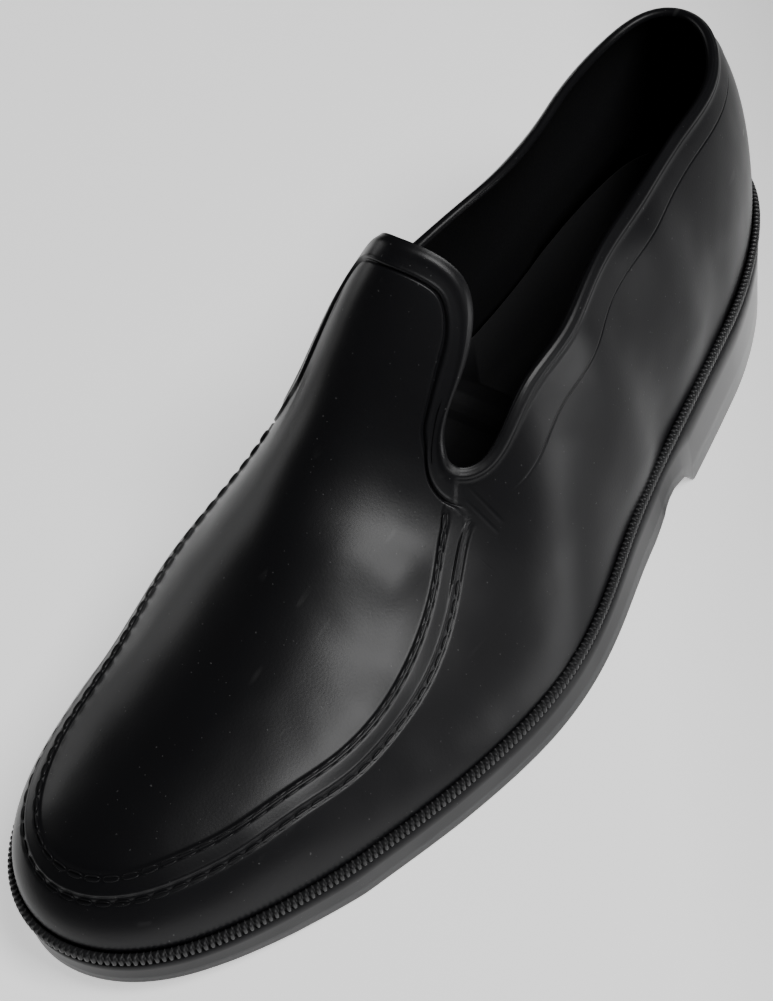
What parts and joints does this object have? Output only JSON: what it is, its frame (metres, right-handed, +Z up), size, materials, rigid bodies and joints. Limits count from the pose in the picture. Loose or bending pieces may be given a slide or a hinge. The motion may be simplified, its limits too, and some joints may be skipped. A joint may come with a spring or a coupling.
{
  "type": "rubber overshoe",
  "caption": "Low slip-on rubber overshoe for the left foot, with a tall tongue flap, notched open collar, stitched-look apron toe, knurled welt and hollow heel.",
  "frame": {"origin": "middle of the shoe's plan, on the floor", "axes": "toe towards -Y, heel towards +Y, outer side of the left foot towards +X, +Z up"},
  "size_m": [0.1148, 0.3094, 0.11],
  "materials": {
    "upper": "satin black moulded rubber",
    "outsole": "satin black moulded rubber",
    "welt": "knurled black rubber"
  },
  "bodies": {
    "root": {"upper": "upper", "outsole": "outsole", "welt": "welt"}
  },
  "joints": []
}
